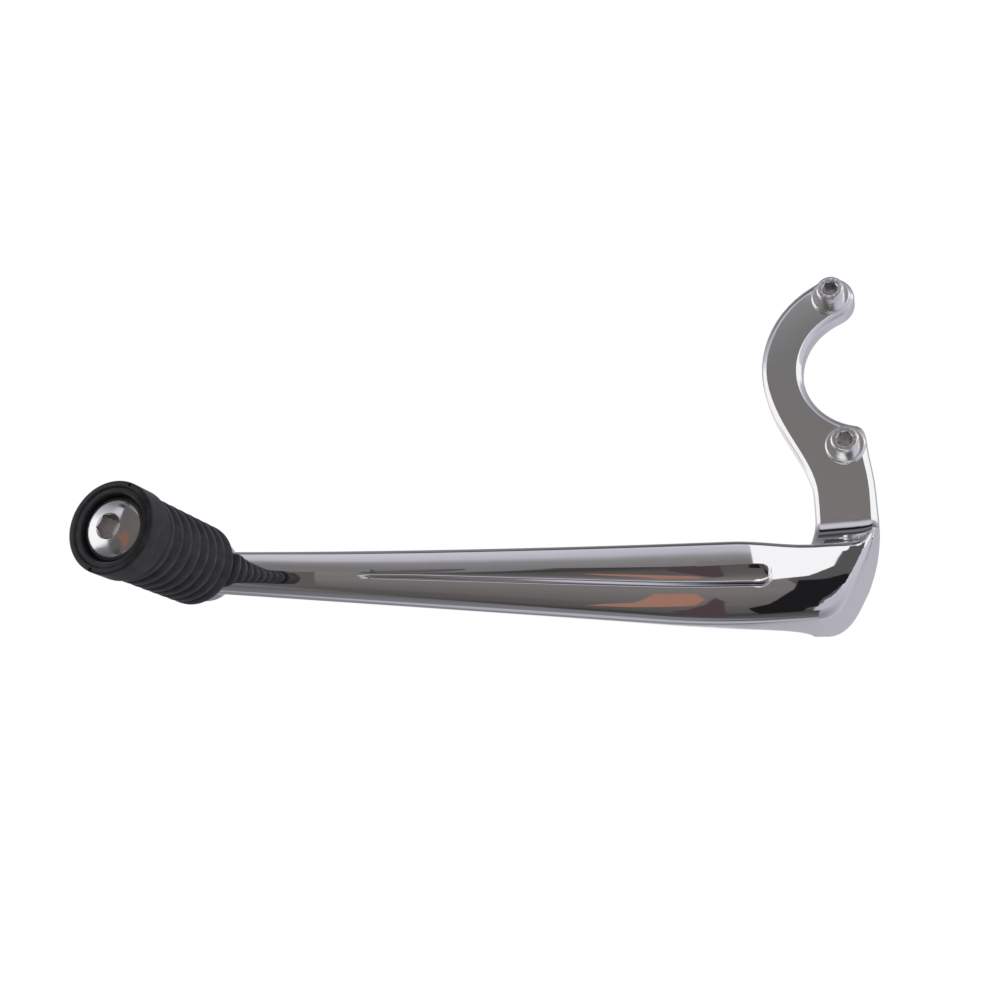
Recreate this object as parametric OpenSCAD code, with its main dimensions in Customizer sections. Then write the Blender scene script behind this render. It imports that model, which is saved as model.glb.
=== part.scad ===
// Heel shift lever for a motorbike: a one-piece chrome plated casting with a crescent
// mounting plate, a scooped corner and a long fluted arm, and a ribbed rubber peg that a
// button head screw clamps to the boss at the arm's end.
// Frame: the origin lies midway between the two mounting screws on the plate's mounting
// face. +X runs away from the peg, +Y points inboard, -Y outboard and +Z up.

/* [Mounting plate] */
// Distance between the two mounting screws
screw_spacing = 60; // [60:1:64]
// Diameter of the clearance holes for the mounting screws
screw_hole_d = 6.4; // [6.2:0.1:6.8]
// Thickness of the mounting plate
plate_t = 8; // [6:0.5:10]
// Radius of the crescent's inner edge, which clears the shift shaft's hub
hub_r = 23; // [21:0.25:23]
// Distance from the line of the screws to the hub's centre
hub_x = 10; // [10:0.25:12]
// Width of the crescent between its inner and outer edge
crescent_w = 15.5; // [14:0.5:18]
// Radius of the round tip about the upper screw
tip_r = 8.5; // [7.8:0.1:8.5]
// Radius of the plate's rounded front edge
edge_r = 2.5; // [1.5:0.25:3]
// Distance from the line of the screws to the neck's left edge
neck_left = 13; // [12:0.1:14]
// Distance from the line of the screws to the neck's right edge
neck_right = 9; // [8.5:0.1:10]

/* [Corner] */
// Depth of the corner, from the mounting face to the arm's front face
corner_depth = 50; // [44:1:56]
// Height of the scoop's front lip below the origin
lip_drop = 77; // [75:0.5:79]
// Height at which the scoop's fillet leaves the plate, below the origin
scoop_drop = 58; // [56:0.5:60]
// Radius of the fillet between the plate and the scoop's floor
scoop_r = 12; // [9:0.5:14]
// Height of the corner's underside below the origin
under_drop = 101.8; // [98:0.2:104]
// Height of the ellipse by which the scoop's floor curls up at its right side
curl_h = 8; // [6:0.5:9]
// Width of the curled part of the scoop's floor
curl_w = 7.4; // [6:0.2:9]
// Distance by which the neck's left side flares out towards the arm
flare = 4; // [1:0.5:6]

/* [Arm] */
// Distance from the line of the screws to the peg's axis
peg_reach = 236; // [200:2:260]
// Height of the peg's axis below the origin
peg_drop = 67.6; // [64:0.2:72]
// Distance by which the arm's front face leans outboard at the peg
arm_splay = 7; // [3:0.5:10]
// Thickness of the arm at the peg end
arm_t = 8.2; // [7:0.2:10]
// Thickness of the arm where it leaves the corner
arm_root_t = 12; // [10:0.5:14]
// Height of the arm at the peg end
arm_end_h = 15.2; // [12:0.2:18]
// Bulge of the arm's front face at mid height
arm_crown = 1.3; // [0.5:0.1:2]
// Radius of the arm's lower front edge
under_r = 4; // [2.5:0.25:4.5]
// Radius of the rounded lip along the arm's top
lip_r = 1.4; // [0.8:0.1:2]
// Depth of the flute's step
flute_depth = 1.5; // [0.8:0.1:2.2]
// Distance from the line of the screws to the flute's right end
flute_start = 26.4; // [20:0.2:32]
// Length of the flute
flute_len = 144; // [120:1:150]
// Height of the flute at its right end
flute_h = 8; // [5:0.5:9]
// Height of the flute at its peg end
flute_tail_h = 3; // [2:0.25:4]

/* [Peg boss] */
// Radius of the round boss that carries the peg
boss_r = 12; // [10.5:0.25:13]
// Length of the boss
boss_len = 9.6; // [9:0.2:14]
// Distance by which the boss stands proud of the arm's front face
boss_proud = 1; // [0.5:0.1:2]

/* [Rubber peg] */
// Length of the rubber
rubber_len = 56; // [50:1:64]
// Radius of the rubber over its ribs
rib_r = 15.4; // [14.5:0.1:16]
// Depth of the grooves between the ribs
rib_depth = 1.5; // [0.8:0.1:2]
// Number of ribs
rib_count = 8; // [6:1:10]
// Radius of the end flange
flange_r = 16.3; // [15.5:0.1:17]
// Length of the end flange
flange_len = 11; // [9:0.5:13]
// Radius of the recess that holds the screw's head
recess_r = 12; // [11.8:0.1:12.6]
// Depth of the recess
recess_depth = 5; // [4:0.25:6]
// Width of the mould notches in the flange
notch_w = 1.2; // [0.8:0.1:2]

/* [Peg fasteners] */
// Diameter of the end screw's shank
end_screw_d = 12; // [10:1:12]
// Diameter of the end screw's button head
end_head_d = 22; // [20:0.5:23]
// Height of the straight side of the end screw's button head
end_head_side = 3.5; // [2.5:0.1:4.5]
// Rise of the button head's crown above its straight side
end_crown = 3.1; // [2:0.1:4]
// Width across the flats of the end screw's socket
end_socket_w = 8; // [6:0.5:9]
// Wall of the steel sleeve inside the rubber
sleeve_wall = 2; // [1.5:0.25:3]

/* [Mounting screws] */
// Diameter of the mounting screws' shanks
screw_d = 6; // [5:0.5:6]
// Length of the shank that stands out behind the plate
screw_reach = 12; // [8:1:16]
// Diameter of the mounting screws' plain necks inside the plate
screw_neck_d = 5.6; // [4.8:0.1:5.8]
// Diameter of the mounting screws' heads
head_d = 10; // [9:0.1:11]
// Height of the mounting screws' heads
head_h = 6; // [5:0.1:7]
// Width across the flats of the mounting screws' sockets
socket_w = 5; // [4:0.25:5.5]
// Diameter of the washers
washer_d = 14.5; // [12:0.1:15]
// Thickness of the washers
washer_t = 1.6; // [1:0.1:2]

/* [Hidden] */
$fn = 64;
// Running clearance between a bore and what passes through it
slip = 0.1;
// Overshoot of a cutter past the face that it opens
over = 1;
// Number of steps around a rounded edge
edge_steps = 4;

// Height where the crescent plate is joined to the neck below it
neck_z = -(screw_spacing / 2 + 18);
// Front face of the plate
plate_y = -plate_t;
// Radius of the crescent's outer edge
crescent_r = hub_r + crescent_w;
// Front face of the arm where it leaves the corner, and at the peg
front_y = -corner_depth;
boss_y = front_y - arm_splay;

// A value between a and b
function mix(a, b, t) = a + (b - a) * t;
// Zero below a, one above b, and smooth between
function ease(a, b, v) = let (t = min(1, max(0, (v - a) / (b - a)))) t * t * (3 - 2 * t);
// A point on a cubic curve
function cubic(p, t) = pow(1 - t, 3) * p[0] + 3 * t * pow(1 - t, 2) * p[1]
    + 3 * t * t * (1 - t) * p[2] + pow(t, 3) * p[3];
// Points along an arc
function arc(c, r, a0, a1, n) = [for (i = [0:n]) let (a = mix(a0, a1, i / n)) c + r * [cos(a), sin(a)]];
// Distance in from an edge, and depth below the face, at one step around a rounded edge
function edge_in(r, i) = r * (1 - cos(90 * i / edge_steps));
function edge_down(r, i) = r * (1 - sin(90 * i / edge_steps));

// The crescent plate's outline, seen from the front

hub = [hub_x, 0];
tip = [0, screw_spacing / 2];
// Centre of the crescent's outer edge, set off from the hub's so that the crescent is widest
// at its upper end
outer_mid = hub + [0.4, 1.6];
// Direction from a to b
function heading(a, b) = atan2(b[1] - a[1], b[0] - a[0]);
// Directions in which straight tangents leave the hub's edge and the crescent's outer edge
inner_dir = heading(hub, tip) + acos(min(1, (hub_r + tip_r) / norm(tip - hub)));
outer_dir = heading(outer_mid, tip) + acos(min(1, (crescent_r - tip_r) / norm(tip - outer_mid)));
// Directions from the hub where the lower lug and the neck leave the crescent
lug_dir = 254.6;
neck_dir = 189.5;
lug_top = hub + hub_r * [cos(lug_dir), sin(lug_dir)];
lug_side = [washer_d / 2 + 0.3, -screw_spacing / 2 + 2];
neck_top = outer_mid + crescent_r * [cos(neck_dir), sin(neck_dir)];
neck_tangent = [-sin(neck_dir), cos(neck_dir)];

right_side = [[neck_right, neck_z], [neck_right, neck_z + 7], lug_side - [0, 6], lug_side];
lug_corner = [lug_side, lug_side + [-0.3, 4.3], lug_top + 2.2 * [-sin(lug_dir), cos(lug_dir)], lug_top];
left_side = [neck_top, neck_top + 18.5 * neck_tangent, [-neck_left, neck_z + 13], [-neck_left, neck_z]];
outline = concat(
    [for (i = [0:5]) cubic(right_side, i / 6)],
    [for (i = [0:5]) cubic(lug_corner, i / 6)],
    arc(hub, hub_r, lug_dir, inner_dir, 26),
    arc(tip, tip_r, inner_dir - 180, outer_dir, 22),
    arc(outer_mid, crescent_r, outer_dir, neck_dir, 13),
    [for (i = [1:14]) cubic(left_side, i / 14)]);
ends = len(outline) - 1;
// Unit vector that points out of the plate at each point of the outline
outward = [for (i = [0:ends])
    i == 0 ? [1, 0] : i == ends ? [-1, 0] :
    let (t = outline[i + 1] - outline[i - 1]) [t[1], -t[0]] / norm(t)];

// The arm's front face

arm_end = -peg_reach;
end_mid = -peg_drop - 1.9;
// How far along the arm a place lies, from the corner to the peg's axis
function along(x) = (-neck_left - x) / (peg_reach - neck_left);
// Rise of the arm's top where it leaves the lip, and length of that rise
lip_rise = 2.1;
rise_len = 26;
// Top, bottom and front of the arm at a place along X
function top_z(x) = let (t = along(x))
    -lip_drop + lip_rise * ease(neck_left, neck_left + rise_len, -x)
    + (lip_drop - lip_rise + end_mid + arm_end_h / 2) * (0.64 * t + 0.36 * t * t);
// Share of the arm at which its underside turns from level to a straight slope, and half the
// length of the bend there
knee = 0.15;
knee_half = 0.09;
function bottom_z(x) = let (t = along(x) - knee)
    -under_drop + (under_drop + end_mid - arm_end_h / 2) / (1 - knee)
    * (t < -knee_half ? 0 : t > knee_half ? t : pow(t + knee_half, 2) / knee_half / 4);
function face_y(x) = front_y - arm_splay * max(0, along(x));
// Rise of the underside from its front edge to a place inboard, which lets the mould part
under_draft = 0.06;
function low_at(x, y) = bottom_z(x) + under_draft * (y - face_y(x));

// The flute's step as a share of the face's height from the top, at the corner and the peg
step_root = 0.575;
step_tail = 0.545;
flute_end = flute_start + flute_len;
// Share of its height that the flute keeps at a place along its round right end
nose_len = 4.5;
function nose(x) = let (u = min(1, max(0, (-x - flute_start) / nose_len)))
    max(0.15, sqrt(1 - pow(1 - u, 2)));
// Height of the flute, and depth of its step below the arm's top, where edges are scaled by k
function flute_tall(x, k) = k * nose(x) * mix(flute_h, flute_tail_h, (-x - flute_start) / flute_len);
function step_down(x, tall, k) = tall * mix(step_root, step_tail, along(x))
    - flute_tall(x, k) * (1 / nose(x) - 1) / 2;
function flute_on(x) = ease(flute_start, flute_start + 1.4, -x) * (1 - ease(flute_end - 7, flute_end, -x));

// Height of face below which its edges and rows are scaled down
full_tall = 18;
lip_steps = 5;
// Distances down the front face at which its points lie, from the lip to the underside
function face_rows(x, tall) =
    let (k = min(1, tall / full_tall), step = step_down(x, tall, k), rise = flute_tall(x, k),
         lip = lip_r * k, low = tall - under_r * k)
    concat(
        [for (i = [1:lip_steps]) edge_in(lip, i)],
        [for (i = [1:3]) mix(lip, step - rise, i / 3)],
        [for (i = [1:3]) mix(step - rise, step - 0.7 * k, i / 3)],
        [step - 0.25 * k, step + 0.25 * k, step + 0.8 * k],
        [for (i = [1:4]) mix(step + 0.8 * k, low, i / 4)],
        [for (i = [edge_steps - 1:-1:0]) tall - edge_in(under_r * k, i)]);

// Depth of a rounded edge's surface at a distance in from the edge
function sink(r, d) = d >= r ? 0 : r - sqrt(max(0, r * r - pow(r - d, 2)));
function lip_sink(tall, d) = sink(lip_r * min(1, tall / full_tall), d);
// Depth of the front face behind its plane, without its edges
function face_sink(x, tall, d) =
    let (k = min(1, tall / full_tall), step = step_down(x, tall, k), rise = flute_tall(x, k))
    flute_depth * flute_on(x) * (d > step ? 1 - ease(step - 0.25, step + 0.25, d)
                                  : ease(step - rise, step - 0.25, d))
    - arm_crown * k * (1 - pow(2 * d / tall - 1, 2));

// Points down the front face between its top and bottom at a place along the arm
function face_column(x) =
    let (top = top_z(x), tall = top - bottom_z(x))
    [for (d = face_rows(x, tall))
        [x, face_y(x) + face_sink(x, tall, d) + lip_sink(tall, d) + sink(under_r, tall - d), top - d]];

// The arm

// Plan of the arm's back, from the corner out to the slim part of the arm
back_left = -neck_left - flare;
back_plan = [[back_left, 0], [back_left - 2.2, front_y * 0.5],
             [back_left - 20, front_y * 0.69], [back_left - 50, front_y + arm_root_t]];
// Where along the plan of the arm's back a place along X lies
function plan_at(x, a = 0, b = 1, tries = 16) =
    let (m = (a + b) / 2)
    tries == 0 ? m : cubic(back_plan, m)[0] > x ? plan_at(x, m, b, tries - 1) : plan_at(x, a, m, tries - 1);
bend_steps = 15;
arm_steps = 32;
slim_x = back_plan[3][0];
slim_y = back_plan[3][1];
// Distances from the flute's right end at which stations lie closer together
nose_steps = [-0.8, 0, 0.25, 0.5, 0.8, 1.2, 1.8, 2.6, 3.6, 4.8];
bend_places = [for (i = [0:bend_steps]) cubic(back_plan, i / bend_steps)];
// Stations along the arm, each with its place along X and that of the arm's back along Y
stations = concat(
    [[-neck_left, 0]],
    [for (p = bend_places) if (p[0] > 1.5 - flute_start) p],
    [for (s = nose_steps) [-flute_start - s, cubic(back_plan, plan_at(-flute_start - s))[1]]],
    [for (p = bend_places) if (p[0] < -flute_start - 6) p],
    [for (i = [1:arm_steps]) let (t = i / arm_steps)
        [mix(slim_x, arm_end, t), mix(slim_y, face_y(arm_end) + arm_t, 1 - pow(1 - t, 1.5))]]);

// Radius of the arm's upper and lower back edge
back_r = 2.5;
heel_r = 1.2;
back_steps = 3;
function arm_section(x, back_y) =
    let (top = top_z(x), low = low_at(x, back_y), r = mix(0.2, heel_r, ease(neck_left, neck_left + 3, -x)))
    concat(
        face_column(x),
        [for (i = [0:back_steps]) let (a = 90 * i / back_steps)
            [x, back_y - r * (1 - sin(a)), low + r * (1 - cos(a))]],
        [for (i = [0:back_steps]) let (a = 90 * i / back_steps)
            [x, back_y - back_r * (1 - cos(a)), top - back_r * (1 - sin(a))]],
        [[x, face_y(x) + lip_r, top]]);

// The corner, whose scoop runs down the plate, round a fillet and out along a sloping floor

scoop_high = lip_drop - scoop_drop;
scoop_long = corner_depth - plate_t - scoop_r;
floor_a = acos(scoop_r / norm([scoop_high, scoop_long])) - atan2(scoop_long, scoop_high);
fillet_a = 90 - floor_a;
fillet_mid = [plate_y - scoop_r, -scoop_drop];
floor_top = fillet_mid + scoop_r * [cos(fillet_a), -sin(fillet_a)];
floor_low = [front_y + lip_r * (1 - sin(floor_a)), -lip_drop - lip_r * (1 - cos(floor_a))];
fillet_steps = 9;
floor_steps = 7;
// Rows down the scoop: the place in Y and Z, the outward normal, and the share of the curl
scoop_rows = concat(
    [for (z = [neck_z, (neck_z - scoop_drop) / 2]) [plate_y, z, -1, 0, 0]],
    [for (i = [0:fillet_steps]) let (a = fillet_a * i / fillet_steps)
        [fillet_mid[0] + scoop_r * cos(a), fillet_mid[1] - scoop_r * sin(a), -cos(a), sin(a),
         ease(0, fillet_steps, i)]],
    [for (i = [1:floor_steps]) let (p = mix(floor_top, floor_low, i / floor_steps))
        [p[0], p[1], -sin(floor_a), cos(floor_a), 1]]);
last_row = len(scoop_rows) - 1;

// The corner's right side at a height
side_bend = 0.0083;
side_drop = 57;
function side_x(z) = neck_right - side_bend * pow(max(0, -z - side_drop), 2);
// How far the scoop's floor curls up, at a distance in from the right side
function curl(d) = d > curl_w ? 0 : curl_h * (1 - sqrt(1 - pow(1 - d / curl_w, 2)));
// Half the width of the round rim on top of the curl, and the height of the rim's crest
rim_half = 0.45;
rim_h = curl(2 * rim_half) + rim_half;
// How far the neck's left side stands out at a height, and the stretch over which it flares
flare_drop = 56;
flare_tall = 17;
function flare_at(z) = flare * ease(flare_drop, flare_drop + flare_tall, -z);
// Distance in from the right side at one step around its edge, where the floor has curled up
// by a share, and height of the rim there
function right_in(i, share) = mix(edge_in(edge_r, i), rim_half * (1 - cos(180 * i / edge_steps)), share);
function rim_up(i) = rim_h - rim_half * (1 - sin(180 * i / edge_steps));

columns = 14;
last = 2 * edge_steps + columns;
// One row across the scoop: the rounded left edge, the floor and the rounded right edge
function scoop_row(row, fade) =
    let (share = row[4], left = -neck_left - flare_at(row[1]) * fade,
         right = side_x(row[1] + rim_h * share), floor_right = right - right_in(edge_steps, share))
    [for (j = [0:last])
        let (from_left = j < edge_steps, from_right = last - j < edge_steps,
             x = from_left ? left + edge_in(edge_r, j)
               : from_right ? right - right_in(last - j, share)
               : mix(left + edge_r, floor_right, 1 - pow(1 - (j - edge_steps) / columns, 1.5)),
             down = from_left ? edge_down(edge_r, j) * fade
                  : from_right ? edge_down(edge_r, last - j) * (1 - share) : 0,
             lift = share * (from_right ? rim_up(last - j) : curl(right - x)))
        [x, row[0] - row[2] * down, row[1] - row[3] * down + lift]];
scoop_raw = [for (i = [0:last_row]) scoop_row(scoop_rows[i], 1 - ease(last_row - 3, last_row, i))];

// Lower outline of the corner, from the arm's underside round to the right side
low_end = [side_x(-lip_drop - 7), -lip_drop - 7];
low_curve = [[-neck_left, -under_drop], [-neck_left + 8, -under_drop], low_end - [4, 9], low_end];
low_points = [for (i = [0:20]) cubic(low_curve, i / 20)];
side_points = [for (i = [1:last_row]) let (p = scoop_raw[last_row - i][last]) [p[0], p[2]]];
top_point = let (p = scoop_raw[last_row][last]) [p[0], p[2]];
wall_line = concat(low_points,
    [for (i = [1:5]) let (z = mix(low_end[1], top_point[1], i / 5)) [side_x(z), z]], side_points);
// Distance from a point to a stretch of the outline, and to the whole outline
function stretch_gap(p, a, b) =
    let (ab = b - a, t = min(1, max(0, (p - a) * ab / (ab * ab)))) norm(p - a - ab * t);
function wall_gap(p) = min([for (i = [0:len(wall_line) - 2]) stretch_gap(p, wall_line[i], wall_line[i + 1])]);
// Radius of the edge between the front face and the corner's wall, at a height
function wall_r(z) = mix(under_r, edge_r, ease(-under_drop + 6, -lip_drop, z));
function wall_sink(p) = sink(wall_r(p[1]), wall_gap(p));

// Front face of the corner, which goes on turning inboard to the right of the arm
front_turn = 0.0023;
function front_at(x) = let (d = max(0, x + neck_left))
    front_y + d * arm_splay / (peg_reach - neck_left) + front_turn * d * d;
// Move of the scoop's points along Y that keeps the lip on the front face
function lip_move(p) = front_at(p[0]) - front_y
    + max(0, wall_sink([p[0], p[2]]) - lip_r * (1 - sin(floor_a)));
lip_moves = [for (p = scoop_raw[last_row]) lip_move(p)];
scoop_grid = [for (i = [0:last_row])
    let (t = max(0, 1 - (last_row - i) / floor_steps))
    [for (j = [0:last]) scoop_raw[i][j] + [0, lip_moves[j] * t * t, 0]]];

// Points down the front face below one column of the scoop
function corner_column(j) =
    let (top = scoop_grid[last_row][j],
         share = (top[0] + neck_left) / (scoop_grid[last_row][last][0] + neck_left),
         lip = [top[0], top[2]], low = cubic(low_curve, share), tall = norm(low - lip),
         bow = side_bend * pow(lip[1] - low[1], 2) * pow(share, 4))
    [for (d = face_rows(-neck_left, tall))
        let (t = d / tall, p = mix(lip, low, t) + [bow * t * (1 - t), 0])
        [p[0], front_at(p[0]) + face_sink(-neck_left, tall, d) + max(lip_sink(tall, d), wall_sink(p)), p[1]]];
corner_columns = concat([face_column(-neck_left)], [for (j = [1:last]) corner_column(j)]);
face_last = len(corner_columns[0]) - 1;
corner_grid = concat(scoop_grid, [for (i = [0:face_last]) [for (j = [0:last]) corner_columns[j][i]]]);

// The two triangles of a four-sided face
function quad(a, b, c, d) = [[a, b, c], [a, c, d]];
// A point moved onto the mounting face, and the same with a share of the underside's draft
function onto_back(p) = [p[0], 0, p[2]];
function drafted(p, share) = onto_back(p) + [0, 0, under_draft * corner_depth * share];

// Triangles of the strip between two stretches of the outline, from a counting up and from b
// counting down
function strip(a, b) =
    b - a < 2 ? [] :
    norm(outline[a + 1] - outline[b]) < norm(outline[a] - outline[b - 1])
        ? concat([[a, a + 1, b]], strip(a + 1, b))
        : concat([[a, b - 1, b]], strip(a, b - 1));

// A plate with the crescent's outline and a rounded front edge, cut level at the neck
module crescent_plate() {
    count = ends + 1;
    rings = [for (j = [0:edge_steps]) for (i = [0:ends])
        let (p = outline[i] - outward[i] * edge_in(edge_r, j))
        [p[0], plate_y + edge_down(edge_r, j), p[1]]];
    back_at = (edge_steps + 1) * count;
    polyhedron(
        points = concat(rings, [for (p = outline) [p[0], 0, p[1]]]),
        faces = concat(
            [for (f = strip(0, ends)) [for (k = [2, 1, 0]) edge_steps * count + f[k]]],
            [for (f = strip(0, ends)) [for (k = [0, 1, 2]) back_at + f[k]]],
            [for (j = [0:edge_steps - 1]) for (i = [0:ends - 1]) for (f = quad(
                (j + 1) * count + i + 1, j * count + i + 1, j * count + i, (j + 1) * count + i)) f],
            [for (i = [0:ends - 1]) [i + 1, back_at + i + 1, back_at + i, i]],
            [concat([back_at, back_at + ends],
                [for (j = [0:edge_steps]) j * count + ends],
                [for (j = [edge_steps:-1:0]) j * count])]));
}

// The scooped corner below the neck, as far as the arm's root
module corner() {
    n = last + 1;
    rows = len(corner_grid);
    side_at = rows * n;
    under_at = side_at + rows;
    left_at = under_at + last;
    side = [for (i = [0:rows - 1]) side_at + i];
    under = concat([for (j = [0:last - 1]) under_at + j], [side_at + rows - 1]);
    polyhedron(
        points = concat(
            [for (row = corner_grid) for (p = row) p],
            [for (row = corner_grid) onto_back(row[last])],
            [for (j = [0:last - 1]) drafted(corner_grid[rows - 1][j], 1 - ease(0, last, j))],
            [for (i = [0:last_row]) onto_back(corner_grid[i][0])]),
        faces = concat(
            [for (i = [0:rows - 2]) for (j = [0:last - 1])
                for (f = quad(i * n + j, i * n + j + 1, (i + 1) * n + j + 1, (i + 1) * n + j)) f],
            [for (i = [0:rows - 2])
                for (f = quad(i * n + last, side[i], side[i + 1], (i + 1) * n + last)) f],
            [for (j = [0:last - 1])
                for (f = quad(under[j + 1], under[j], (rows - 1) * n + j, (rows - 1) * n + j + 1)) f],
            [for (i = [0:last_row - 1])
                for (f = quad(left_at + i + 1, left_at + i, i * n, (i + 1) * n)) f],
            [for (i = [0:last_row - 1])
                for (f = quad(left_at + i + 1, side[i + 1], side[i], left_at + i)) f],
            [concat([under[0], left_at + last_row], [for (i = [last_row:rows - 1]) i * n])],
            [concat([left_at, side[0]], [for (j = [last:-1:0]) j])],
            [concat(under, [for (i = [rows - 2:-1:last_row]) side[i]], [left_at + last_row])]));
}

// The arm, from the corner out to the peg's axis
module arm() {
    rings = [for (s = stations) arm_section(s[0], s[1])];
    n = len(rings[0]);
    final = len(rings) - 1;
    polyhedron(
        points = [for (r = rings) for (p = r) p],
        faces = concat(
            [[for (i = [n - 1:-1:0]) i]],
            [[for (i = [0:n - 1]) final * n + i]],
            [for (j = [0:final - 1]) for (i = [0:n - 1]) let (k = (i + 1) % n)
                for (f = quad(j * n + i, j * n + k, (j + 1) * n + k, (j + 1) * n + i)) f]));
}

// Axis of the peg: what is drawn along +Z from the boss's seat runs outboard from it
boss_seat = boss_y - boss_proud;
module at_peg() {
    translate([arm_end, boss_seat, -peg_drop])
    rotate([90, 0, 0])
    children();
}

// Puts what is drawn along +Z on a mounting screw's axis, outboard of a place along Y
module at_screw(side, y) {
    translate([0, y, side * screw_spacing / 2])
    rotate([90, 0, 0])
    children();
}

// Joins forms that run into each other into one closed skin, with no side stretched
module one_skin() {
    resize([0, 0, 0])
    union()
    children();
}

// Chrome plated casting: crescent plate, scooped corner, fluted arm and peg boss
module lever_arm() {
    color("lightgray")
    difference() {
        one_skin() {
            crescent_plate();
            corner();
            arm();
            at_peg()
            translate([0, 0, -boss_len])
            boss();
        }
        at_peg()
        translate([0, 0, -boss_len - over])
        cylinder(d = end_screw_d + slip, h = boss_len + 2 * over);
        for (side = [-1, 1])
            at_screw(side, over)
            cylinder(d = screw_hole_d, h = plate_t + 2 * over);
    }
}

// Round boss with rounded rims
boss_rim = 1.5;
module boss() {
    rotate_extrude()
    polygon(concat(
        [[0, 0]],
        arc([boss_r - boss_rim, boss_rim], boss_rim, -90, 0, 6),
        arc([boss_r - boss_rim, boss_len - boss_rim], boss_rim, 0, 90, 6),
        [[0, boss_len]]));
}

// Rubber peg, drawn from its inner end at the boss to its outer face

sleeve_r = end_screw_d / 2 + slip + sleeve_wall;
rubber_gap = 0.1;
sleeve_len = rubber_len - recess_depth;
rib_pitch = (rubber_len - flange_len) / rib_count;
// Steps of the saw-like rib: a steep outer side, a round crest and a slow inner side
rib_points = 6;
function rib(i) = [for (k = [0:rib_points - 1]) let (t = k / rib_points)
    [rib_r - rib_depth * pow(abs(2 * t - 1), 3), (i + t) * rib_pitch]];
inner_r = rib_r - 1.5;
rim = 1;
face_groove = 0.8;
lip_w = 1.6;
lip_drop_in = 0.6;
module peg_rubber() {
    color("dimgray")
    at_peg()
    difference() {
        rotate_extrude()
        polygon(concat(
            [[sleeve_r + rubber_gap, 0], [inner_r, 0]],
            [for (i = [0:rib_count - 1]) for (p = rib(i)) if (p[1] > 0.5) p],
            [[rib_r - rib_depth, rubber_len - flange_len]],
            arc([flange_r - rim, rubber_len - flange_len + rim], rim, -60, 0, 4),
            arc([flange_r - rim, rubber_len - rim], rim, 0, 90, 5),
            [[recess_r + lip_w + face_groove, rubber_len],
             [recess_r + lip_w + face_groove / 2, rubber_len - face_groove],
             [recess_r + lip_w, rubber_len - lip_drop_in],
             [recess_r + 0.4, rubber_len - lip_drop_in],
             [recess_r, rubber_len - lip_drop_in - 0.4],
             [recess_r, sleeve_len],
             [sleeve_r + rubber_gap, sleeve_len]]));
        for (turn = [0, 180])
            rotate([0, 0, notch_turn + turn])
            translate([recess_r + lip_w + face_groove + 0.4, -notch_w / 2, rubber_len - notch_w])
            cube([flange_r, notch_w, 2 * notch_w]);
    }
}
// Turn of the mould notches about the peg's axis
notch_turn = 66;

// Steel sleeve that the end screw clamps to the boss
module peg_sleeve() {
    color("silver")
    at_peg()
    difference() {
        cylinder(r = sleeve_r, h = sleeve_len);
        translate([0, 0, -over])
        cylinder(d = end_screw_d + 2 * slip, h = sleeve_len + 2 * over);
    }
}

// A screw: shank below the head's seat, head above it, and a six-sided socket
module socket_cut(width, top, depth) {
    translate([0, 0, top - depth])
    cylinder(d = width / cos(30), h = depth + over, $fn = 6);
    translate([0, 0, top - width * 0.08])
    cylinder(d1 = width, d2 = width * 1.3, h = width * 0.16);
}

// Button head screw through the sleeve into the boss
module peg_end_screw() {
    head_h_all = end_head_side + end_crown;
    crown_r = (pow(end_head_d / 2, 2) + pow(end_crown, 2)) / (2 * end_crown);
    color("gainsboro")
    at_peg()
    translate([0, 0, sleeve_len])
    difference() {
        union() {
            translate([0, 0, -sleeve_len - boss_len])
            cylinder(d = end_screw_d, h = sleeve_len + boss_len + over);
            rotate_extrude()
            polygon(concat(
                [[0, 0], [end_head_d / 2 - 0.3, 0], [end_head_d / 2, 0.3]],
                arc([0, head_h_all - crown_r], crown_r, acos(end_head_d / 2 / crown_r), 90, 12)));
        }
        socket_cut(end_socket_w, head_h_all - 0.5, head_h_all * 0.7);
    }
}

// Socket head cap screw with a rounded rim, drawn upwards from the washer
module cap_screw() {
    grip = washer_t + plate_t;
    rim_r = 0.8;
    color("silver")
    difference() {
        union() {
            translate([0, 0, -grip - screw_reach])
            cylinder(d = screw_d, h = screw_reach);
            translate([0, 0, -grip])
            cylinder(d = screw_neck_d, h = grip + over);
            rotate_extrude()
            polygon(concat(
                [[0, 0], [head_d / 2, 0]],
                arc([head_d / 2 - rim_r, head_h - rim_r], rim_r, 0, 90, 5),
                [[0, head_h]]));
        }
        socket_cut(socket_w, head_h, head_h * 0.55);
    }
}

module upper_mounting_screw() {
    at_screw(1, plate_y - washer_t)
    cap_screw();
}

module lower_mounting_screw() {
    at_screw(-1, plate_y - washer_t)
    cap_screw();
}

// Flat washer with a turned outer edge
module washer() {
    color("gainsboro")
    difference() {
        rotate_extrude()
        polygon(concat(
            [[0, 0], [washer_d / 2, 0]],
            arc([washer_d / 2 - washer_t / 2, washer_t / 2], washer_t / 2, 0, 90, 4),
            [[0, washer_t]]));
        translate([0, 0, -over])
        cylinder(d = screw_hole_d, h = washer_t + 2 * over);
    }
}

module upper_washer() {
    at_screw(1, plate_y)
    washer();
}

module lower_washer() {
    at_screw(-1, plate_y)
    washer();
}

lever_arm();
peg_sleeve();
peg_rubber();
peg_end_screw();
upper_mounting_screw();
lower_mounting_screw();
upper_washer();
lower_washer();
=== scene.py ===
# A motorbike's heel shift lever: a chrome plated casting, a ribbed rubber peg on a steel
# sleeve, the large button head screw that clamps the peg, and two mounting screws on washers.

import math

import bpy
from mathutils import Matrix, Vector


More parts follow.
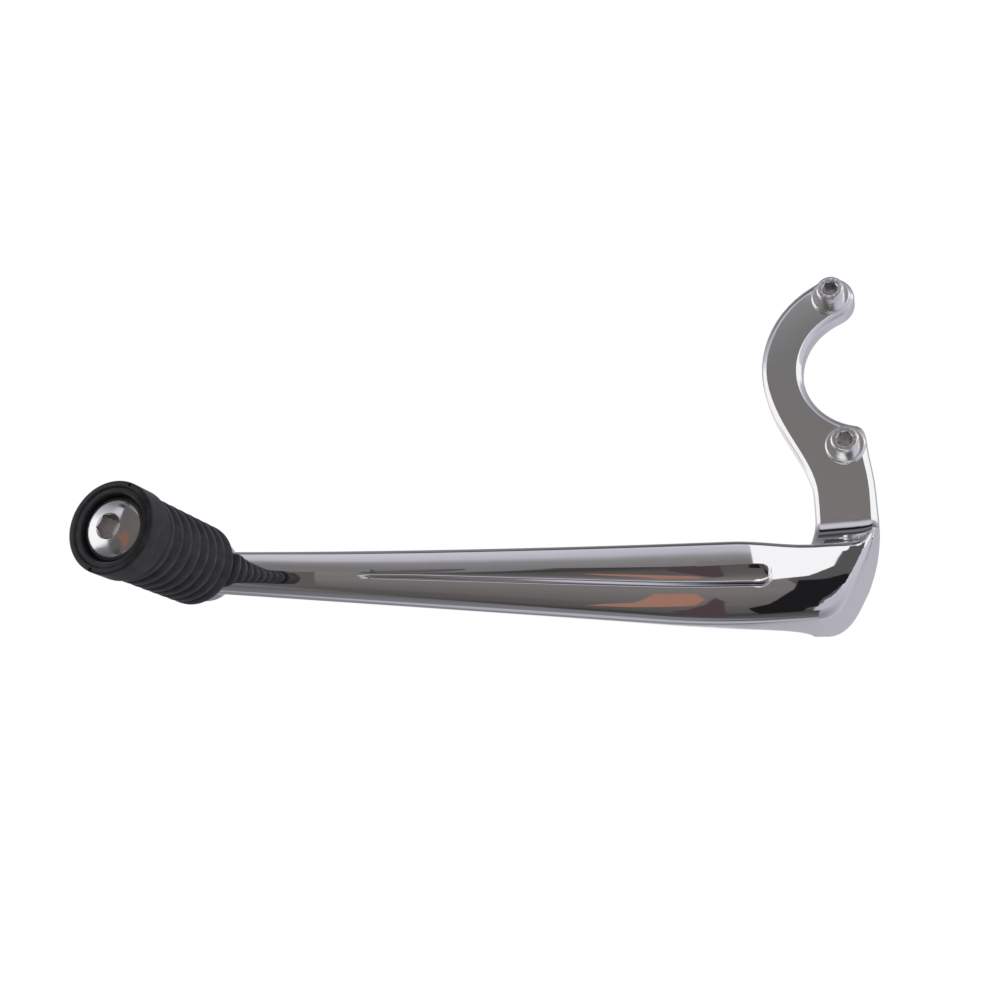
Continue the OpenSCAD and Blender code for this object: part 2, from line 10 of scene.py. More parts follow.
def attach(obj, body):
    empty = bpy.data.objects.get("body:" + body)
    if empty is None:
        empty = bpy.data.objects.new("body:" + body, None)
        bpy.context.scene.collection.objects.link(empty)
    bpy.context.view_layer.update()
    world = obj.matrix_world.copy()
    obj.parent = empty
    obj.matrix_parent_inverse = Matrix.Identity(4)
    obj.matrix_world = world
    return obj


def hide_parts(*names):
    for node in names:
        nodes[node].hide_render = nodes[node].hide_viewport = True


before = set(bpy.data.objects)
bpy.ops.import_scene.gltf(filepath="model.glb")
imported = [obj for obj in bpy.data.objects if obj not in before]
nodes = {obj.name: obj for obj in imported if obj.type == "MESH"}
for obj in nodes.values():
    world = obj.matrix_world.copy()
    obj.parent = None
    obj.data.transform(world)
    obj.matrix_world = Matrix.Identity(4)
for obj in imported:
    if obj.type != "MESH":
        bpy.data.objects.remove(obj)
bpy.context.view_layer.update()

# Lever casting
# One casting of crescent plate, scooped corner and fluted arm, ground, polished and chrome
# plated. The plating is a mirror with a fine haze and a faint ripple.

# Distance under which a copy's points are joined, and limits for joining its triangles in pairs
JOIN_WITHIN = 0.000002
PAIR_BEND = 0.02
PAIR_SHAPE = 0.9
# Bend, in degrees, above which an edge counts as sharp and is rounded
SHARP_BEND = 38
# Most of a noise lies between these two values
NOISE_LOW = 0.3
NOISE_HIGH = 0.7


def clear_selection():
    if bpy.context.object and bpy.context.object.mode != "OBJECT":
        bpy.ops.object.mode_set(mode="OBJECT")
    bpy.ops.object.select_all(action="DESELECT")


def pick(piece):
    clear_selection()
    piece.select_set(True)
    bpy.context.view_layer.objects.active = piece


def merged_copy(node_name, piece_name):
    """A copy of a CAD node with its loose triangles joined."""
    piece = nodes[node_name].copy()
    piece.data = nodes[node_name].data.copy()
    piece.name = piece.data.name = piece_name
    for key in list(piece.keys()):
        del piece[key]
    piece.parent = None
    bpy.context.scene.collection.objects.link(piece)
    pick(piece)
    if piece.data.has_custom_normals:
        bpy.ops.mesh.customdata_custom_splitnormals_clear()
    bpy.ops.object.mode_set(mode="EDIT")
    bpy.ops.mesh.select_all(action="SELECT")
    bpy.ops.mesh.remove_doubles(threshold=JOIN_WITHIN)
    bpy.ops.mesh.tris_convert_to_quads(face_threshold=PAIR_BEND, shape_threshold=PAIR_SHAPE)
    bpy.ops.object.mode_set(mode="OBJECT")
    return piece


def dress(piece, node_name, smooth_angle, material):
    """Smooth shading in which flat faces stay flat beside rounded edges, and a material."""
    pick(piece)
    bpy.ops.object.shade_smooth_by_angle(angle=math.radians(smooth_angle))
    weighted = piece.modifiers.new("flat faces stay flat", "WEIGHTED_NORMAL")
    weighted.keep_sharp = True
    bpy.ops.object.modifier_apply(modifier=weighted.name)
    piece.data.materials.clear()
    piece.data.materials.append(material)
    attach(piece, "root")
    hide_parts(node_name)


def round_edges(piece, wanted, width, segments):
    """Bevels the sharp edges whose two ends both pass the test."""
    pick(piece)
    bpy.ops.object.mode_set(mode="EDIT")
    bpy.ops.mesh.select_mode(type="EDGE")
    bpy.ops.mesh.select_all(action="DESELECT")
    bpy.ops.mesh.edges_select_sharp(sharpness=math.radians(SHARP_BEND))
    bpy.ops.object.mode_set(mode="OBJECT")
    points = piece.data.vertices
    chosen = [
        edge.select and all(wanted(points[end].co) for end in edge.vertices)
        for edge in piece.data.edges
    ]
    for part_list in (piece.data.polygons, piece.data.edges, piece.data.vertices):
        for part in part_list:
            part.select = False
    for edge, take in zip(piece.data.edges, chosen):
        edge.select = take
    bpy.ops.object.mode_set(mode="EDIT")
    bpy.ops.mesh.bevel(offset=width, segments=segments, profile=0.5, clamp_overlap=True)
    bpy.ops.object.mode_set(mode="OBJECT")


def new_material(name, colour, metallic=0.0):
    material = bpy.data.materials.new(name)
    material.use_nodes = True
    tree = material.node_tree
    surface = tree.nodes["Principled BSDF"]
    surface.inputs["Base Color"].default_value = (*colour, 1)
    surface.inputs["Metallic"].default_value = metallic
    return material, tree, surface


def link(tree, start, end):
    tree.links.new(start, end)


def object_noise(tree, scale, detail, stretch=(1, 1, 1)):
    """Noise on the piece's own coordinates, drawn out along an axis by stretch."""
    place = tree.nodes.new("ShaderNodeTexCoord")
    mapping = tree.nodes.new("ShaderNodeMapping")
    mapping.inputs["Scale"].default_value = stretch
    noise = tree.nodes.new("ShaderNodeTexNoise")
    noise.inputs["Scale"].default_value = scale
    noise.inputs["Detail"].default_value = detail
    link(tree, place.outputs["Object"], mapping.inputs["Vector"])
    link(tree, mapping.outputs["Vector"], noise.inputs["Vector"])
    return noise


def roughness(tree, surface, noise, low, high):
    """Lets the roughness follow a noise between two values."""
    span = tree.nodes.new("ShaderNodeMapRange")
    span.inputs["From Min"].default_value = NOISE_LOW
    span.inputs["From Max"].default_value = NOISE_HIGH
    span.inputs["To Min"].default_value = low
    span.inputs["To Max"].default_value = high
    link(tree, noise.outputs["Fac"], span.inputs["Value"])
    link(tree, span.outputs["Result"], surface.inputs["Roughness"])


def bump(tree, surface, noise, strength, depth):
    grain = tree.nodes.new("ShaderNodeBump")
    grain.inputs["Strength"].default_value = strength
    grain.inputs["Distance"].default_value = depth
    link(tree, noise.outputs["Fac"], grain.inputs["Height"])
    link(tree, grain.outputs["Normal"], surface.inputs["Normal"])


chrome, tree, surface = new_material("polished chrome plating", (0.90, 0.90, 0.915), metallic=1.0)
haze = object_noise(tree, scale=55, detail=4)
roughness(tree, surface, haze, low=0.03, high=0.055)
ripple = object_noise(tree, scale=90, detail=1)
bump(tree, surface, ripple, strength=0.05, depth=0.0004)

# The CAD part's own dimensions of the arm's front face: ends, top and bottom lines, depth
NECK_LEFT = 0.013
PEG_REACH = 0.236
PEG_DROP = 0.0676
LIP_DROP = 0.077
LIP_RISE = 0.0021
RISE_LEN = 0.026
UNDER_DROP = 0.1018
ARM_END_H = 0.0152
ARM_END_DROP = PEG_DROP + 0.0019
TOP_STRAIGHT = 0.64
KNEE = 0.15
KNEE_HALF = 0.09
CORNER_DEPTH = 0.050
ARM_SPLAY = 0.007
ARM_CROWN = 0.0013
# Height of the arm from which its edges and flute have their full size
FULL_TALL = 0.018
# The CAD part's own dimensions of the flute, whose step lies at a share of the arm's height
FLUTE_START = 0.0264
FLUTE_END = FLUTE_START + 0.144
FLUTE_DEPTH = 0.0015
FLUTE_H = 0.008
FLUTE_TAIL_H = 0.003
NOSE_LEN = 0.0045
NOSE_LEAST = 0.15
STEP_ROOT = 0.575
STEP_TAIL = 0.545
# Lengths over which the flute deepens behind its nose and fades at its tail
NOSE_RUN = 0.0014
TAIL_RUN = 0.005
# Height of the flute's rounded step, at most a share of the flute's, and how far its crest
# lies below the CAD part's step
STEP_WIDE = 0.0026
STEP_SHARE = 0.7
STEP_LOW = 0.0004
# How far outside the flute's outline its points may lie: tail, nose, above, below and in depth
PAST_TAIL = 0.001
PAST_NOSE = 0.0005
PAST_COVE = 0.0002
PAST_STEP = 0.00085
PAST_FACE = 0.003
# Cuts across each face of the flute, so that it can take the finer profile
FLUTE_CUTS = 4


def ease(start, end, value):
    """Share from 0 to 1 of the way between two places, with a soft start and end."""
    share = min(1, max(0, (value - start) / (end - start)))
    return share * share * (3 - 2 * share)


def arm_section(x):
    """The arm at x: its top, height, edge scale and front, and the flute's step and rise."""
    along = (-NECK_LEFT - x) / (PEG_REACH - NECK_LEFT)
    climb = LIP_DROP - LIP_RISE - ARM_END_DROP + ARM_END_H / 2
    top = -LIP_DROP + LIP_RISE * ease(NECK_LEFT, NECK_LEFT + RISE_LEN, -x)
    top += climb * (TOP_STRAIGHT * along + (1 - TOP_STRAIGHT) * along * along)
    past = along - KNEE
    bend = past if past > KNEE_HALF else max(0, past + KNEE_HALF) ** 2 / KNEE_HALF / 4
    low = -UNDER_DROP + (UNDER_DROP - ARM_END_DROP - ARM_END_H / 2) / (1 - KNEE) * bend
    tall = top - low
    scale = min(1, tall / FULL_TALL)
    front = -CORNER_DEPTH - ARM_SPLAY * max(0, along)
    reach = min(1, max(0, (-x - FLUTE_START) / NOSE_LEN))
    nose = max(NOSE_LEAST, math.sqrt(1 - (1 - reach) ** 2))
    share = (-x - FLUTE_START) / (FLUTE_END - FLUTE_START)
    rise = scale * nose * (FLUTE_H + (FLUTE_TAIL_H - FLUTE_H) * share)
    step = tall * (STEP_ROOT + (STEP_TAIL - STEP_ROOT) * along) - rise * (1 / nose - 1) / 2
    return top, tall, scale, front, step, rise


def flute_sink(x, below, rise):
    """Depth of the flute at a distance below the step: a cove above, a rounded step under it."""
    wide = min(STEP_WIDE, STEP_SHARE * rise)
    run = ease(FLUTE_START, FLUTE_START + NOSE_RUN, -x) * (1 - ease(FLUTE_END - TAIL_RUN, FLUTE_END, -x))
    if below <= -rise or below >= STEP_LOW:
        return 0
    if below < STEP_LOW - wide:
        share = (below + rise) / (rise - wide + STEP_LOW)
        return FLUTE_DEPTH * run * (1 - (1 - share) ** 2)
    return FLUTE_DEPTH * run * ease(0, wide, STEP_LOW - below)


def flute_place(point):
    """A flute point's depth below the top, distance below the step, and section; else None."""
    if not -FLUTE_END - PAST_TAIL < point.x < -FLUTE_START + PAST_NOSE:
        return None
    top, tall, scale, front, step, rise = arm_section(point.x)
    down = top - point.z
    below = down - step
    if not -rise - PAST_COVE < below < PAST_STEP * scale:
        return None
    if abs(point.y - front) > PAST_FACE:
        return None
    return down, below, tall, scale, front, rise


lever = merged_copy("lever_arm", "lever_casting")
pick(lever)
bpy.ops.object.mode_set(mode="EDIT")
bpy.ops.mesh.select_mode(type="FACE")
bpy.ops.mesh.select_all(action="DESELECT")
bpy.ops.object.mode_set(mode="OBJECT")
in_flute = [flute_place(point.co) is not None for point in lever.data.vertices]
for face in lever.data.polygons:
    face.select = all(in_flute[corner] for corner in face.vertices)
bpy.ops.object.mode_set(mode="EDIT")
bpy.ops.mesh.subdivide(number_cuts=FLUTE_CUTS)
bpy.ops.object.mode_set(mode="OBJECT")
for point in lever.data.vertices:
    place = flute_place(point.co)
    if place and point.select:
        down, below, tall, scale, front, rise = place
        crown = ARM_CROWN * scale * (1 - (2 * down / tall - 1) ** 2)
        point.co.y = front - crown + flute_sink(point.co.x, below, rise)
dress(lever, "lever_arm", smooth_angle=32, material=chrome)

# Peg rubber
# A black rubber sleeve with narrow ribs and a smooth flange, moulded in a two-part mould and
# pushed over the steel sleeve. It is satin, with a faint mottle of grey.
RUBBER_DARK = (0.021, 0.021, 0.023)
RUBBER_PALE = (0.043, 0.043, 0.047)

rubber, tree, surface = new_material("moulded black rubber", (0.045, 0.045, 0.047))
surface.inputs["Specular IOR Level"].default_value = 0.42
mottle = object_noise(tree, scale=260, detail=5)
rubber_colour = tree.nodes.new("ShaderNodeValToRGB")
dark, pale = rubber_colour.color_ramp.elements
dark.position = 0.35
dark.color = (*RUBBER_DARK, 1)
pale.position = 0.7
pale.color = (*RUBBER_PALE, 1)
link(tree, mottle.outputs["Fac"], rubber_colour.inputs["Fac"])
link(tree, rubber_colour.outputs["Color"], surface.inputs["Base Color"])
sheen = object_noise(tree, scale=120, detail=3)
roughness(tree, surface, sheen, low=0.36, high=0.5)
grain = object_noise(tree, scale=1800, detail=3)
bump(tree, surface, grain, strength=0.25, depth=0.0002)

peg = merged_copy("peg_rubber", "peg_rubber_ribbed")
dress(peg, "peg_rubber", smooth_angle=35, material=rubber)

# Steel sleeve
# A turned and zinc plated tube inside the rubber. The end screw passes through it and clamps
# it to the boss on the arm.
steel, tree, surface = new_material("turned zinc plated steel", (0.56, 0.56, 0.57), metallic=1.0)
turning = object_noise(tree, scale=900, detail=3, stretch=(1, 14, 1))
roughness(tree, surface, turning, low=0.24, high=0.38)
bump(tree, surface, turning, strength=0.2, depth=0.0001)

sleeve = merged_copy("peg_sleeve", "peg_sleeve_turned")
dress(sleeve, "peg_sleeve", smooth_angle=35, material=steel)

# End screw
# A large button head screw of bright plated steel, a little duller than the casting, with a
# hexagon socket of forged steel. Its domed head sits in the recess of the rubber.
PEG_AXIS = (-PEG_REACH, -PEG_DROP)
END_HEAD_R = 0.011
# Radius outside which the dome curves down more, by how much at its rim, how steeply, and how
# far behind the dome's top its points reach
DOME_BEND_R = 0.0080
DOME_DROOP = 0.0009
DOME_POWER = 2.4
DOME_TALL = 0.0045
# The socket's mouth lies between these radii and this near the dome's top, and is rounded
END_MOUTH_IN = 0.003
END_MOUTH_OUT = 0.006
END_MOUTH_DEEP = 0.0015
END_MOUTH_ROUND = 0.0004
# The dull inside of the socket: its radius, its start behind the dome's top, and its depth
END_SOCKET_R = 0.0047
END_SOCKET_START = 0.0009
SOCKET_DEEP = 0.005

plated, tree, surface = new_material("bright plated screw steel", (0.92, 0.92, 0.93), metallic=1.0)
plating_haze = object_noise(tree, scale=380, detail=4)
roughness(tree, surface, plating_haze, low=0.13, high=0.19)
bump(tree, surface, plating_haze, strength=0.01, depth=0.0001)

forged, tree, surface = new_material("forged socket steel", (0.50, 0.475, 0.46), metallic=1.0)
forged_haze = object_noise(tree, scale=700, detail=4)
roughness(tree, surface, forged_haze, low=0.2, high=0.34)
bump(tree, surface, forged_haze, strength=0.02, depth=0.0001)


def out_from(point, axis):
    """Distance of a point from an axis along Y, given by the axis's X and Z."""
    return math.hypot(point.x - axis[0], point.z - axis[1])


def dull_socket(piece, axis, radius, front):
    """Gives the inside of a socket, within a radius and behind its mouth, the forged steel."""
    piece.data.materials.append(forged)
    for face in piece.data.polygons:
        behind = front < face.center.y < front + SOCKET_DEEP
        if behind and out_from(face.center, axis) < radius:
            face.material_index = 1


end_screw = merged_copy("peg_end_screw", "peg_end_screw_plated")
dome_top = min(point.co.y for point in end_screw.data.vertices)
for point in end_screw.data.vertices:
    past = out_from(point.co, PEG_AXIS) - DOME_BEND_R
    if past > 0 and point.co.y < dome_top + DOME_TALL:
        point.co.y += DOME_DROOP * (past / (END_HEAD_R - DOME_BEND_R)) ** DOME_POWER


def in_end_mouth(point):
    in_ring = END_MOUTH_IN < out_from(point, PEG_AXIS) < END_MOUTH_OUT
    return in_ring and point.y < dome_top + END_MOUTH_DEEP


round_edges(end_screw, in_end_mouth, width=END_MOUTH_ROUND, segments=3)
dress(end_screw, "peg_end_screw", smooth_angle=35, material=plated)
dull_socket(end_screw, PEG_AXIS, END_SOCKET_R, dome_top + END_SOCKET_START)

# Mounting screws and washers
# Two socket head cap screws of the same plated steel, each on a plain washer stamped from
# sheet. They hold the crescent plate to its bracket, and their threads begin behind the plate.
SCREW_UP = 0.030
HEAD_R = 0.005
SHANK_R = 0.003
# The head's rim: width from its edge, depth behind the head's front, and rounding
RIM_IN = 0.0009
RIM_DEEP = 0.0012
RIM_ROUND = 0.0016
# The socket's mouth: least distance from the head's edge, depth behind the front, and rounding
MOUTH_IN = 0.0012
MOUTH_DEEP = 0.0008
MOUTH_ROUND = 0.00035
# The dull inside of the socket: its radius, and its start behind the head's front
SOCKET_R = 0.0030
SOCKET_START = 0.0005
# The thread behind the plate: radii of its root and middle, radius and widening of its tooth,
# pitch, turns, steps a turn, start behind the plate, and distance under which points are joined
THREAD_ROOT_R = 0.00255
THREAD_MID_R = 0.00262
THREAD_TOOTH = 0.00035
THREAD_WIDEN = 1.45
THREAD_PITCH = 0.001
THREAD_TURNS = 10
THREAD_STEPS = 32
THREAD_START = 0.0009
THREAD_JOIN_WITHIN = 0.000001
# Slack for telling which points belong to the shank behind the plate
SLACK = 0.0001
WASHER_ROUND = 0.0003


def thread(axis):
    """A three-sided ridge wound round an axis along Y."""
    clear_selection()
    place = (THREAD_MID_R, THREAD_START, 0)
    bpy.ops.mesh.primitive_circle_add(
        vertices=3,
        radius=THREAD_TOOTH,
        fill_type="NOTHING",
        location=place,
        rotation=(0, 0, -math.pi / 2),
    )
    ridge = bpy.context.object
    bpy.ops.object.transform_apply(location=True, rotation=True, scale=True)
    bpy.ops.object.mode_set(mode="EDIT")
    bpy.ops.mesh.select_all(action="SELECT")
    bpy.ops.transform.resize(value=(1, THREAD_WIDEN, 1), center_override=place)
    bpy.ops.object.mode_set(mode="OBJECT")
    winding = ridge.modifiers.new("winding", "SCREW")
    winding.axis = "Y"
    winding.screw_offset = THREAD_PITCH
    winding.iterations = THREAD_TURNS
    winding.steps = winding.render_steps = THREAD_STEPS
    bpy.ops.object.modifier_apply(modifier=winding.name)
    bpy.ops.object.mode_set(mode="EDIT")
    bpy.ops.mesh.select_all(action="SELECT")
    bpy.ops.mesh.remove_doubles(threshold=THREAD_JOIN_WITHIN)
    bpy.ops.mesh.fill_holes(sides=3)
    bpy.ops.mesh.select_all(action="SELECT")
    bpy.ops.mesh.normals_make_consistent(inside=False)
    bpy.ops.transform.translate(value=(axis[0], 0, axis[1]))
    bpy.ops.object.mode_set(mode="OBJECT")
    return ridge


def draw_in_shank(screw, axis):
    """Thins the shank behind the plate to the root of its thread."""
    for point in screw.data.vertices:
        out = out_from(point.co, axis)
        if point.co.y > -SLACK and out > SHANK_R - SLACK:
            point.co.x = axis[0] + (point.co.x - axis[0]) * THREAD_ROOT_R / out
            point.co.z = axis[1] + (point.co.z - axis[1]) * THREAD_ROOT_R / out


def round_head(screw, axis):
    """Rounds the head's rim and the socket's mouth, and gives back the depth of its front."""
    front = min(point.co.y for point in screw.data.vertices)

    def on_rim(point):
        return out_from(point, axis) > HEAD_R - RIM_IN and point.y < front + RIM_DEEP

    def on_mouth(point):
        return out_from(point, axis) < HEAD_R - MOUTH_IN and point.y < front + MOUTH_DEEP

    round_edges(screw, on_rim, width=RIM_ROUND, segments=8)
    round_edges(screw, on_mouth, width=MOUTH_ROUND, segments=3)
    return front


for name, axis in (("upper", (0, SCREW_UP)), ("lower", (0, -SCREW_UP))):
    screw = merged_copy(name + "_mounting_screw", name + "_mounting_screw_plated")
    draw_in_shank(screw, axis)
    ridge = thread(axis)
    pick(screw)
    ridge.select_set(True)
    bpy.ops.object.join()
    head_front = round_head(screw, axis)
    dress(screw, name + "_mounting_screw", smooth_angle=35, material=plated)
    dull_socket(screw, axis, SOCKET_R, head_front + SOCKET_START)
    washer = merged_copy(name + "_washer", name + "_washer_plated")
    round_edges(washer, lambda point: True, width=WASHER_ROUND, segments=3)
    dress(washer, name + "_washer", smooth_angle=35, material=plated)

# Studio
# The lever is held in the air by its mount, before white paper that only the camera sees. Its
# chrome reflects a dim room in front, a pale sky, and cards set close in front of the lever.
# Tints by which a tone of light is multiplied
WHITE = (1, 1, 1)
LILAC = (1, 0.985, 1.1)
BLUISH = (1, 1, 1.1)
BROWN = (1, 0.915, 0.893)
DUSKY = (1, 0.97, 0.98)
# Depths of the cards before the corner, the peg's end and the arm, and between two layers
CORNER_CARD_Y = -0.100
PEG_CARD_Y = -0.118
ARM_CARD_Y = -0.160
LAYER = 0.0002

world = bpy.data.worlds.new("studio")
world.use_nodes = True
bpy.context.scene.world = world
room_tree = world.node_tree
background = room_tree.nodes["Background"]
direction = room_tree.nodes.new("ShaderNodeTexCoord")
axes = room_tree.nodes.new("ShaderNodeSeparateXYZ")
link(room_tree, direction.outputs["Generated"], axes.inputs["Vector"])


def height_ramp(*steps):
    """Light by the angle above the horizon, from low to high: degrees, tone and tint."""
    zero_to_one = room_tree.nodes.new("ShaderNodeMath")
    zero_to_one.operation = "MULTIPLY_ADD"
    zero_to_one.inputs[1].default_value = 0.5
    zero_to_one.inputs[2].default_value = 0.5
    link(room_tree, axes.outputs["Z"], zero_to_one.inputs[0])
    ramp = room_tree.nodes.new("ShaderNodeValToRGB")
    link(room_tree, zero_to_one.outputs["Value"], ramp.inputs["Fac"])
    stops = ramp.color_ramp.elements
    for number, (angle, tone, tint) in enumerate(steps):
        place = 0.5 + 0.5 * math.sin(math.radians(angle))
        if number < 2:
            stop = stops[number]
            stop.position = place
        else:
            stop = stops.new(place)
        stop.color = (*(tone * share for share in tint), 1)
    return ramp.outputs["Color"]


# Each direction's turn about Z, from the front
to_front = room_tree.nodes.new("ShaderNodeMath")
to_front.operation = "MULTIPLY"
to_front.inputs[1].default_value = -1
link(room_tree, axes.outputs["Y"], to_front.inputs[0])
turn = room_tree.nodes.new("ShaderNodeMath")
turn.operation = "ARCTAN2"
link(room_tree, axes.outputs["X"], turn.inputs[0])
link(room_tree, to_front.outputs["Value"], turn.inputs[1])


def blend_round(low, high, first, second):
    """Passes from the first light to the second between two turns, in degrees from the front."""
    share = room_tree.nodes.new("ShaderNodeMapRange")
    share.interpolation_type = "SMOOTHSTEP"
    share.inputs["From Min"].default_value = math.radians(low)
    share.inputs["From Max"].default_value = math.radians(high)
    link(room_tree, turn.outputs["Value"], share.inputs["Value"])
    mix = room_tree.nodes.new("ShaderNodeMix")
    mix.data_type = "RGBA"
    link(room_tree, share.outputs["Result"], mix.inputs["Factor"])
    link(room_tree, first, mix.inputs["A"])
    link(room_tree, second, mix.inputs["B"])
    return mix.outputs["Result"]


# Behind the lever on both sides, at its left, the room in front of it, and at its right
back_right = height_ramp(
    (-90, 0.26, LILAC),
    (-60, 0.36, LILAC),
    (-30, 0.55, LILAC),
    (-5, 0.46, LILAC),
    (8, 0.46, LILAC),
    (14, 0.44, LILAC),
    (25, 0.44, LILAC),
    (50, 0.3, LILAC),
    (90, 0.2, LILAC),
)
back_left = height_ramp(
    (-90, 0.1, LILAC),
    (-75, 0.15, LILAC),
    (-67, 0.45, LILAC),
    (-50, 0.45, LILAC),
    (-45, 0.23, LILAC),
    (-30, 0.23, LILAC),
    (-8, 0.27, LILAC),
    (-1.5, 0.42, LILAC),
    (1, 1.0, WHITE),
    (8, 0.95, WHITE),
    (20, 0.5, LILAC),
    (45, 0.28, LILAC),
    (90, 0.2, LILAC),
)
left = height_ramp(
    (-90, 0.22, BLUISH),
    (-40, 0.12, DUSKY),
    (-16, 0.2, BLUISH),
    (-10, 1.0, WHITE),
    (24, 1.0, WHITE),
    (32, 0.55, BLUISH),
    (50, 0.2, BLUISH),
    (90, 0.2, BLUISH),
)
room = height_ramp(
    (-90, 0.1, DUSKY),
    (-66, 0.085, DUSKY),
    (-47, 0.05, DUSKY),
    (-30, 0.1, BROWN),
    (-17, 0.105, BROWN),
    (-8, 0.116, BROWN),
    (0, 0.142, BROWN),
    (4, 0.168, BROWN),
    (7, 0.194, BROWN),
    (10, 0.184, BROWN),
    (14, 0.21, BROWN),
    (19, 0.194, BROWN),
    (23, 0.185, DUSKY),
    (25, 0.215, DUSKY),
    (27, 0.255, DUSKY),
    (28.5, 0.35, LILAC),
    (30, 0.49, LILAC),
    (33, 0.56, LILAC),
    (36, 0.6, LILAC),
    (41, 0.6, LILAC),
    (46, 0.5, LILAC),
    (49, 0.012, WHITE),
    (56, 0.012, WHITE),
    (63, 0.2, LILAC),
    (75, 0.03, BLUISH),
    (90, 0.12, LILAC),
)
right = height_ramp(
    (-90, 0.26, BLUISH),
    (-45, 0.42, BLUISH),
    (-12, 0.58, LILAC),
    (11, 0.6, LILAC),
    (14, 1.0, WHITE),
    (26, 1.0, WHITE),
    (31, 0.5, BLUISH),
    (60, 0.22, BLUISH),
    (90, 0.14, BLUISH),
)

all_round = back_right
for low, high, next_light in (
    (-180, -172, back_left),
    (-118, -96, left),
    (-36, -31, room),
    (7, 11, right),
    (96, 125, back_right),
):
    all_round = blend_round(low, high, all_round, next_light)

light_path = room_tree.nodes.new("ShaderNodeLightPath")
behind_lever = room_tree.nodes.new("ShaderNodeMix")
behind_lever.data_type = "RGBA"
behind_lever.inputs["B"].default_value = (*WHITE, 1)
link(room_tree, light_path.outputs["Is Camera Ray"], behind_lever.inputs["Factor"])
link(room_tree, all_round, behind_lever.inputs["A"])
link(room_tree, behind_lever.outputs["Result"], background.inputs["Color"])


def card(name, card_y, outline, colour):
    """A flat glowing card that only the lever's reflections show; its outline is X and Z."""
    clear_selection()
    bpy.ops.mesh.primitive_circle_add(vertices=len(outline), radius=1, fill_type="NGON")
    piece = bpy.context.object
    piece.name = name
    for corner, (x, z) in zip(piece.data.vertices, outline):
        corner.co = Vector((x, card_y, z))
    material = bpy.data.materials.new(name)
    material.use_nodes = True
    card_nodes = material.node_tree.nodes
    card_nodes.clear()
    glow = card_nodes.new("ShaderNodeEmission")
    glow.inputs["Color"].default_value = (*colour, 1)
    out = card_nodes.new("ShaderNodeOutputMaterial")
    link(material.node_tree, glow.outputs["Emission"], out.inputs["Surface"])
    piece.data.materials.append(material)
    piece.visible_camera = False
    piece.visible_diffuse = False
    piece.visible_shadow = False


# Four cards mirrored in the scooped corner, of which the black one lies nearest to the lever
card(
    "white_card",
    CORNER_CARD_Y,
    (
        (-0.033, -0.031),
        (0.008, -0.031),
        (0.005, -0.044),
        (0.000, -0.048),
        (-0.002, -0.056),
        (-0.004, -0.064),
        (-0.009, -0.070),
        (-0.014, -0.074),
        (-0.022, -0.077),
        (-0.033, -0.079),
    ),
    WHITE,
)
card(
    "grey_card",
    CORNER_CARD_Y - LAYER,
    (
        (0.007, -0.036),
        (0.012, -0.044),
        (0.028, -0.050),
        (0.034, -0.066),
        (0.046, -0.080),
        (0.046, -0.093),
        (-0.004, -0.102),
        (-0.022, -0.078),
        (-0.006, -0.064),
        (-0.002, -0.044),
    ),
    (0.093, 0.090, 0.092),
)
card(
    "black_card",
    CORNER_CARD_Y + LAYER,
    (
        (-0.018, -0.079),
        (0.003, -0.079),
        (0.012, -0.083),
        (0.020, -0.087),
        (0.028, -0.091),
        (0.034, -0.097),
        (0.030, -0.101),
        (0.022, -0.098),
        (0.012, -0.095),
        (0.002, -0.094),
        (-0.006, -0.096),
        (-0.009, -0.102),
        (-0.012, -0.110),
        (-0.016, -0.120),
        (-0.018, -0.150),
        (-0.035, -0.150),
        (-0.037, -0.106),
        (-0.029, -0.098),
        (-0.024, -0.091),
        (-0.020, -0.086),
    ),
    (0.012, 0.012, 0.014),
)
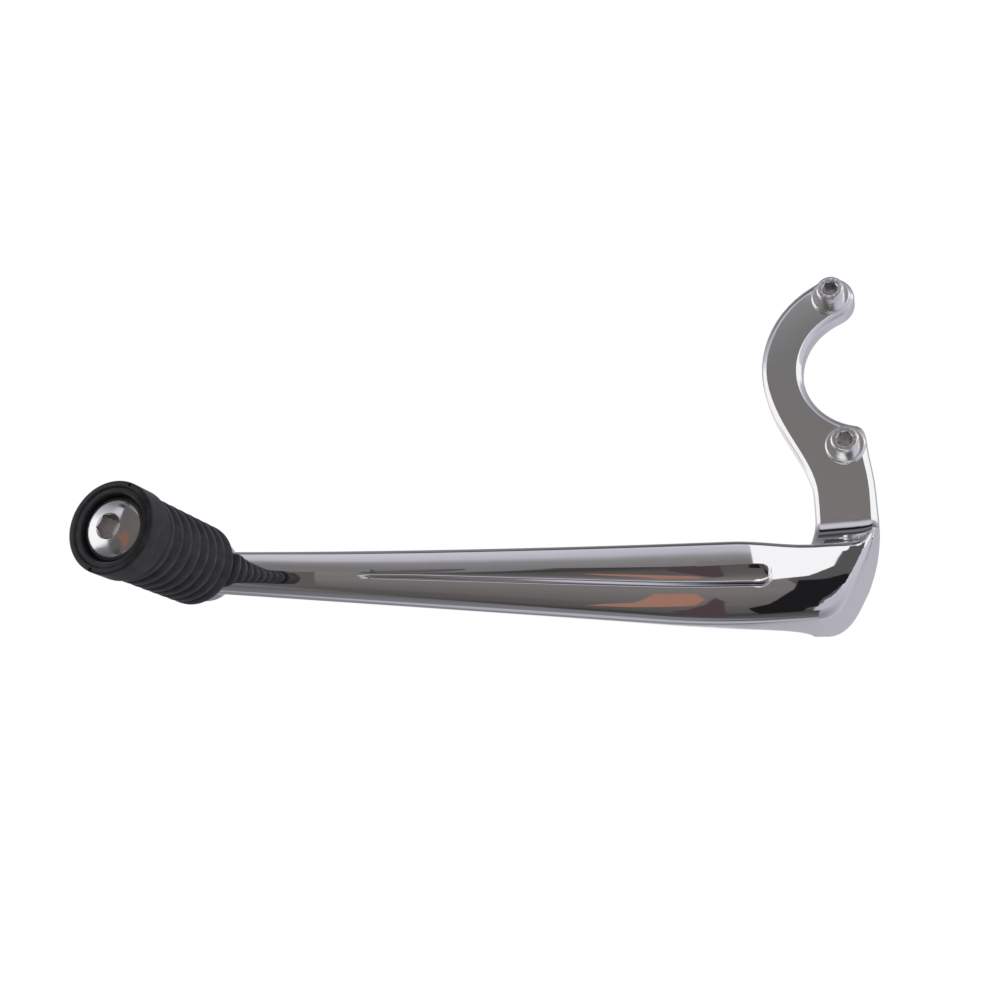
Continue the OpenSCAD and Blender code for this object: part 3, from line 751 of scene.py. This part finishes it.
card(
    "pale_card",
    CORNER_CARD_Y - 2 * LAYER,
    (
        (-0.008, -0.106),
        (0.002, -0.103),
        (0.024, -0.103),
        (0.034, -0.107),
        (0.042, -0.112),
        (0.042, -0.150),
        (-0.014, -0.150),
        (-0.013, -0.118),
        (-0.011, -0.111),
    ),
    (0.50, 0.49, 0.55),
)
# Two cards mirrored in the end screw's dome
card(
    "peg_dim_card",
    PEG_CARD_Y,
    ((-0.2325, -0.0860), (-0.2318, -0.0545), (-0.2150, -0.0545), (-0.2150, -0.0860)),
    (0.115, 0.106, 0.100),
)
card(
    "peg_warm_card",
    PEG_CARD_Y + LAYER,
    (
        (-0.2332, -0.0712),
        (-0.2290, -0.0692),
        (-0.2266, -0.0730),
        (-0.2270, -0.0785),
        (-0.2296, -0.0805),
        (-0.2306, -0.0755),
    ),
    (0.20, 0.11, 0.08),
)
# Two cards mirrored in the arm beside the corner
card(
    "purple_card",
    ARM_CARD_Y - LAYER,
    (
        (-0.062, -0.106),
        (-0.053, -0.086),
        (-0.049, -0.092),
        (-0.050, -0.110),
        (-0.056, -0.200),
        (-0.070, -0.320),
        (-0.095, -0.320),
        (-0.080, -0.150),
    ),
    (0.075, 0.052, 0.062),
)
card(
    "warm_card",
    ARM_CARD_Y,
    (
        (-0.118, -0.136),
        (-0.106, -0.113),
        (-0.085, -0.090),
        (-0.078, -0.080),
        (-0.060, -0.081),
        (-0.057, -0.089),
        (-0.065, -0.101),
        (-0.089, -0.117),
    ),
    (0.35, 0.18, 0.13),
)

# Camera
# It stands in front of the plate and a little below the arm, and looks up and to the left.
PLACE = Vector((0.00394, -0.4413, -0.17888))
RIGHT = Vector((0.9528, 0.30351, -0.0075))
UP = Vector((0.09695, -0.28075, 0.95487))
AHEAD = Vector((-0.28771, 0.91053, 0.29692))
SENSOR_MM = 36
LENS_MM = 43.2
CLIP_START = 0.01

camera_data = bpy.data.cameras.new("camera")
camera_data.sensor_width = SENSOR_MM
camera_data.lens = LENS_MM
camera_data.clip_start = CLIP_START
camera = bpy.data.objects.new("camera", camera_data)
camera.location = PLACE
camera.rotation_euler = Matrix((RIGHT, UP, -AHEAD)).transposed().to_euler()
bpy.context.scene.collection.objects.link(camera)
bpy.context.scene.camera = camera

bpy.context.scene.view_settings.view_transform = "Standard"
